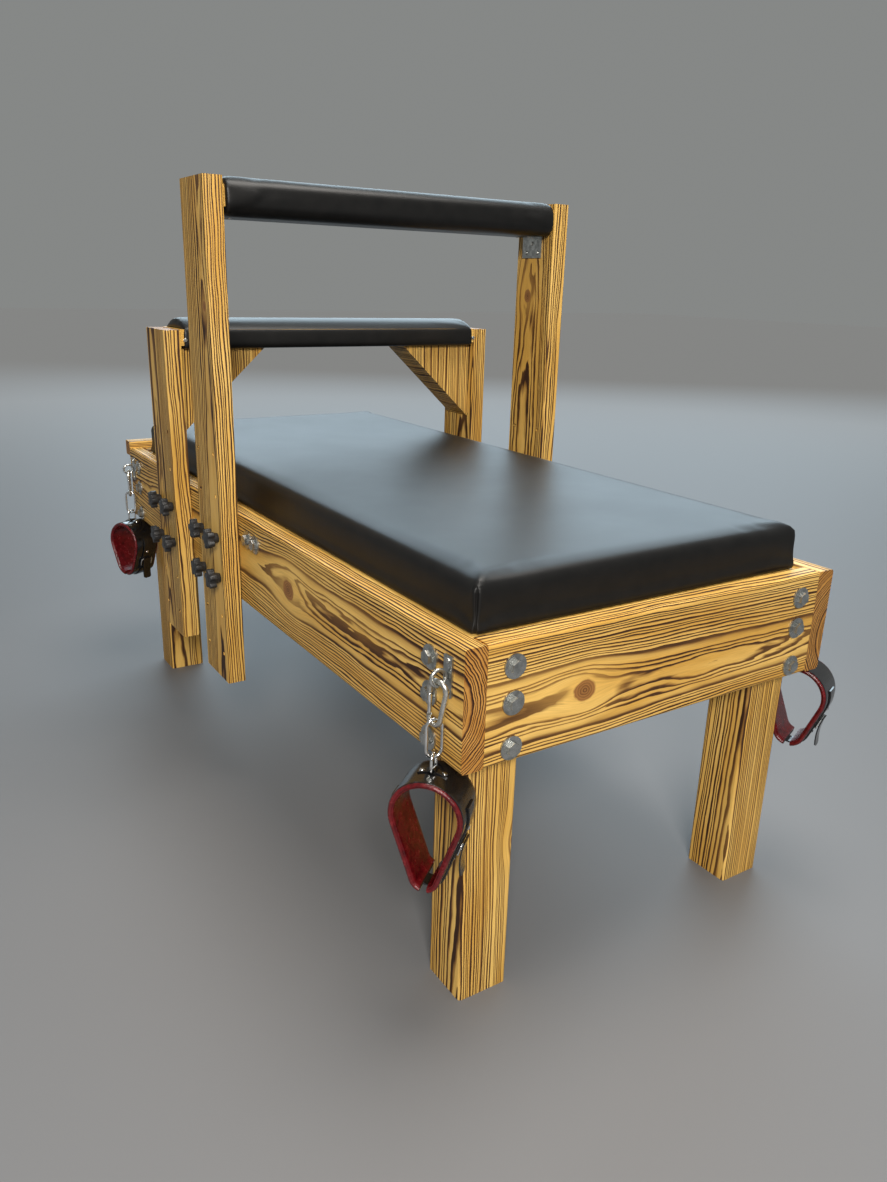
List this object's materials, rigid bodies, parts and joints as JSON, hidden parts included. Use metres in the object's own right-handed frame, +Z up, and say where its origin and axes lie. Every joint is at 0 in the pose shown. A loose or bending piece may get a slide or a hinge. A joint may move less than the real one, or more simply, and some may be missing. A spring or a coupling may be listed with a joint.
{
  "type": "padded bench",
  "caption": "Timber-framed padded bench with height-adjustable padded cross bars on side uprights and padded buckled cuffs hung from snap hooks.",
  "frame": {"origin": "centre of the bounding box at floor level", "axes": "+Z up, +Y along the bench from its front end to its rear end with the stop batten, +X towards the right-hand side rail"},
  "size_m": [0.933, 1.7291, 1.248],
  "materials": {
    "timber": "flamed and brushed softwood, honey coloured, satin",
    "board": "raw plywood or board",
    "vinyl": "black upholstery vinyl, fine grain, soft sheen",
    "zinc": "zinc-plated, dull",
    "screw_zinc": "bright zinc",
    "bright": "bright plated steel",
    "knob": "black moulded plastic, matt",
    "cuff_leather": "black leather with a red lining"
  },
  "bodies": {
    "bench": {"side_rail_left": "timber", "side_rail_right": "timber", "end_rail_front": "timber", "end_rail_rear": "timber", "rear_batten": "timber", "leg_front_left": "timber", "leg_front_right": "timber", "leg_rear_left": "timber", "leg_rear_right": "timber", "cross_beam": "timber", "mattress_board": "board", "mattress": "vinyl", "frame_bolts": "zinc", "rail_inserts": "zinc", "eye_plates": "zinc", "wood_screws": "screw_zinc"},
    "tall_frame": {"tall_upright_left": "timber", "tall_upright_right": "timber", "tall_bar_core": "board", "tall_bar_pad": "vinyl", "tall_brackets": "zinc", "tall_screws": "screw_zinc"},
    "low_frame": {"low_upright_left": "timber", "low_upright_right": "timber", "low_bar_core": "board", "low_bar_pad": "vinyl", "low_gussets": "timber", "low_screws": "screw_zinc"},
    "knob_tall_left_front_lower": {"knob_tall_left_front_lower": "knob"},
    "knob_tall_left_front_upper": {"knob_tall_left_front_upper": "knob"},
    "knob_tall_left_rear_lower": {"knob_tall_left_rear_lower": "knob"},
    "knob_tall_left_rear_upper": {"knob_tall_left_rear_upper": "knob"},
    "knob_tall_right_front_lower": {"knob_tall_right_front_lower": "knob"},
    "knob_tall_right_front_upper": {"knob_tall_right_front_upper": "knob"},
    "knob_tall_right_rear_lower": {"knob_tall_right_rear_lower": "knob"},
    "knob_tall_right_rear_upper": {"knob_tall_right_rear_upper": "knob"},
    "knob_low_left_front_lower": {"knob_low_left_front_lower": "knob"},
    "knob_low_left_front_upper": {"knob_low_left_front_upper": "knob"},
    "knob_low_left_rear_lower": {"knob_low_left_rear_lower": "knob"},
    "knob_low_left_rear_upper": {"knob_low_left_rear_upper": "knob"},
    "knob_low_right_front_lower": {"knob_low_right_front_lower": "knob"},
    "knob_low_right_front_upper": {"knob_low_right_front_upper": "knob"},
    "knob_low_right_rear_lower": {"knob_low_right_rear_lower": "knob"},
    "knob_low_right_rear_upper": {"knob_low_right_rear_upper": "knob"},
    "hook_front_left": {"hook_front_left": "zinc"},
    "gate_front_left": {"gate_front_left": "bright"},
    "link_front_left": {"link_front_left": "bright"},
    "cuff_front_left": {"cuff_front_left": "cuff_leather"},
    "hook_front_right": {"hook_front_right": "zinc"},
    "gate_front_right": {"gate_front_right": "bright"},
    "link_front_right": {"link_front_right": "bright"},
    "cuff_front_right": {"cuff_front_right": "cuff_leather"},
    "hook_rear_left": {"hook_rear_left": "zinc"},
    "gate_rear_left": {"gate_rear_left": "bright"},
    "link_rear_left": {"link_rear_left": "bright"},
    "cuff_rear_left": {"cuff_rear_left": "cuff_leather"},
    "hook_rear_right": {"hook_rear_right": "zinc"},
    "gate_rear_right": {"gate_rear_right": "bright"},
    "link_rear_right": {"link_rear_right": "bright"},
    "cuff_rear_right": {"cuff_rear_right": "cuff_leather"}
  },
  "joints": [
    {"name": "tall_frame_height", "type": "slide", "parent": "bench", "child": "tall_frame", "axis": [0, 0, 1], "range_m": [-0.171, 0.171]},
    {"name": "low_frame_height", "type": "slide", "parent": "bench", "child": "low_frame", "axis": [0, 0, 1], "range_m": [0, 0.171]},
    {"name": "knob_tall_left_front_lower_turn", "type": "hinge", "parent": "tall_frame", "child": "knob_tall_left_front_lower", "pos_m": [-0.4243, 0.0175, 0.48275], "axis": [-1, 0, 0], "continuous": true},
    {"name": "knob_tall_left_front_upper_turn", "type": "hinge", "parent": "tall_frame", "child": "knob_tall_left_front_upper", "pos_m": [-0.4243, 0.0175, 0.56825], "axis": [-1, 0, 0], "continuous": true},
    {"name": "knob_tall_left_rear_lower_turn", "type": "hinge", "parent": "tall_frame", "child": "knob_tall_left_rear_lower", "pos_m": [-0.4243, 0.1085, 0.48275], "axis": [-1, 0, 0], "continuous": true},
    {"name": "knob_tall_left_rear_upper_turn", "type": "hinge", "parent": "tall_frame", "child": "knob_tall_left_rear_upper", "pos_m": [-0.4243, 0.1085, 0.56825], "axis": [-1, 0, 0], "continuous": true},
    {"name": "knob_tall_right_front_lower_turn", "type": "hinge", "parent": "tall_frame", "child": "knob_tall_right_front_lower", "pos_m": [0.4243, 0.0175, 0.48275], "axis": [1, 0, 0], "continuous": true},
    {"name": "knob_tall_right_front_upper_turn", "type": "hinge", "parent": "tall_frame", "child": "knob_tall_right_front_upper", "pos_m": [0.4243, 0.0175, 0.56825], "axis": [1, 0, 0], "continuous": true},
    {"name": "knob_tall_right_rear_lower_turn", "type": "hinge", "parent": "tall_frame", "child": "knob_tall_right_rear_lower", "pos_m": [0.4243, 0.1085, 0.48275], "axis": [1, 0, 0], "continuous": true},
    {"name": "knob_tall_right_rear_upper_turn", "type": "hinge", "parent": "tall_frame", "child": "knob_tall_right_rear_upper", "pos_m": [0.4243, 0.1085, 0.56825], "axis": [1, 0, 0], "continuous": true},
    {"name": "knob_low_left_front_lower_turn", "type": "hinge", "parent": "low_frame", "child": "knob_low_left_front_lower", "pos_m": [-0.4243, 0.3245, 0.48275], "axis": [-1, 0, 0], "continuous": true},
    {"name": "knob_low_left_front_upper_turn", "type": "hinge", "parent": "low_frame", "child": "knob_low_left_front_upper", "pos_m": [-0.4243, 0.3245, 0.56825], "axis": [-1, 0, 0], "continuous": true},
    {"name": "knob_low_left_rear_lower_turn", "type": "hinge", "parent": "low_frame", "child": "knob_low_left_rear_lower", "pos_m": [-0.4243, 0.4155, 0.48275], "axis": [-1, 0, 0], "continuous": true},
    {"name": "knob_low_left_rear_upper_turn", "type": "hinge", "parent": "low_frame", "child": "knob_low_left_rear_upper", "pos_m": [-0.4243, 0.4155, 0.56825], "axis": [-1, 0, 0], "continuous": true},
    {"name": "knob_low_right_front_lower_turn", "type": "hinge", "parent": "low_frame", "child": "knob_low_right_front_lower", "pos_m": [0.4243, 0.3245, 0.48275], "axis": [1, 0, 0], "continuous": true},
    {"name": "knob_low_right_front_upper_turn", "type": "hinge", "parent": "low_frame", "child": "knob_low_right_front_upper", "pos_m": [0.4243, 0.3245, 0.56825], "axis": [1, 0, 0], "continuous": true},
    {"name": "knob_low_right_rear_lower_turn", "type": "hinge", "parent": "low_frame", "child": "knob_low_right_rear_lower", "pos_m": [0.4243, 0.4155, 0.48275], "axis": [1, 0, 0], "continuous": true},
    {"name": "knob_low_right_rear_upper_turn", "type": "hinge", "parent": "low_frame", "child": "knob_low_right_rear_upper", "pos_m": [0.4243, 0.4155, 0.56825], "axis": [1, 0, 0], "continuous": true},
    {"name": "hook_front_left_swing", "type": "hinge", "parent": "bench", "child": "hook_front_left", "pos_m": [-0.4033, -0.7965, 0.5643], "axis": [-0.342, 0.9397, 0], "range_deg": [0, 70]},
    {"name": "gate_front_left_open", "type": "hinge", "parent": "hook_front_left", "child": "gate_front_left", "pos_m": [-0.40809, -0.78334, 0.5152], "axis": [0.9397, 0.342, 0], "range_deg": [0, 25], "stiffness_Nm_per_rad": 0.05},
    {"name": "link_front_left_swing", "type": "hinge", "parent": "hook_front_left", "child": "link_front_left", "pos_m": [-0.40484, -0.79227, 0.4983], "axis": [0, 1, 0], "range_deg": [0, 25]},
    {"name": "cuff_front_left_swing", "type": "hinge", "parent": "link_front_left", "child": "cuff_front_left", "pos_m": [-0.40484, -0.79227, 0.4488], "axis": [-0.9848, 0.1736, 0], "range_deg": [0, 25]},
    {"name": "hook_front_right_swing", "type": "hinge", "parent": "bench", "child": "hook_front_right", "pos_m": [0.4033, -0.7965, 0.5643], "axis": [-0.342, -0.9397, 0], "range_deg": [0, 70]},
    {"name": "gate_front_right_open", "type": "hinge", "parent": "hook_front_right", "child": "gate_front_right", "pos_m": [0.40809, -0.78334, 0.5152], "axis": [0.9397, -0.342, 0], "range_deg": [0, 25], "stiffness_Nm_per_rad": 0.05},
    {"name": "link_front_right_swing", "type": "hinge", "parent": "hook_front_right", "child": "link_front_right", "pos_m": [0.40484, -0.79227, 0.4983], "axis": [0, -1, 0], "range_deg": [0, 25]},
    {"name": "cuff_front_right_swing", "type": "hinge", "parent": "link_front_right", "child": "cuff_front_right", "pos_m": [0.40484, -0.79227, 0.4488], "axis": [0.866, -0.5, 0], "range_deg": [0, 25]},
    {"name": "hook_rear_left_swing", "type": "hinge", "parent": "bench", "child": "hook_rear_left", "pos_m": [-0.4033, 0.7965, 0.5643], "axis": [0.342, 0.9397, 0], "range_deg": [0, 70]},
    {"name": "gate_rear_left_open", "type": "hinge", "parent": "hook_rear_left", "child": "gate_rear_left", "pos_m": [-0.40809, 0.78334, 0.5152], "axis": [-0.9397, 0.342, 0], "range_deg": [0, 25], "stiffness_Nm_per_rad": 0.05},
    {"name": "link_rear_left_swing", "type": "hinge", "parent": "hook_rear_left", "child": "link_rear_left", "pos_m": [-0.40484, 0.79227, 0.4983], "axis": [0, 1, 0], "range_deg": [0, 25]},
    {"name": "cuff_rear_left_swing", "type": "hinge", "parent": "link_rear_left", "child": "cuff_rear_left", "pos_m": [-0.40484, 0.79227, 0.4488], "axis": [-0.866, 0.5, 0], "range_deg": [0, 25]},
    {"name": "hook_rear_right_swing", "type": "hinge", "parent": "bench", "child": "hook_rear_right", "pos_m": [0.4033, 0.7965, 0.5643], "axis": [0.342, -0.9397, 0], "range_deg": [0, 70]},
    {"name": "gate_rear_right_open", "type": "hinge", "parent": "hook_rear_right", "child": "gate_rear_right", "pos_m": [0.40809, 0.78334, 0.5152], "axis": [-0.9397, -0.342, 0], "range_deg": [0, 25], "stiffness_Nm_per_rad": 0.05},
    {"name": "link_rear_right_swing", "type": "hinge", "parent": "hook_rear_right", "child": "link_rear_right", "pos_m": [0.40484, 0.79227, 0.4983], "axis": [0, -1, 0], "range_deg": [0, 25]},
    {"name": "cuff_rear_right_swing", "type": "hinge", "parent": "link_rear_right", "child": "cuff_rear_right", "pos_m": [0.40484, 0.79227, 0.4488], "axis": [0.9848, -0.1736, 0], "range_deg": [0, 25]}
  ]
}
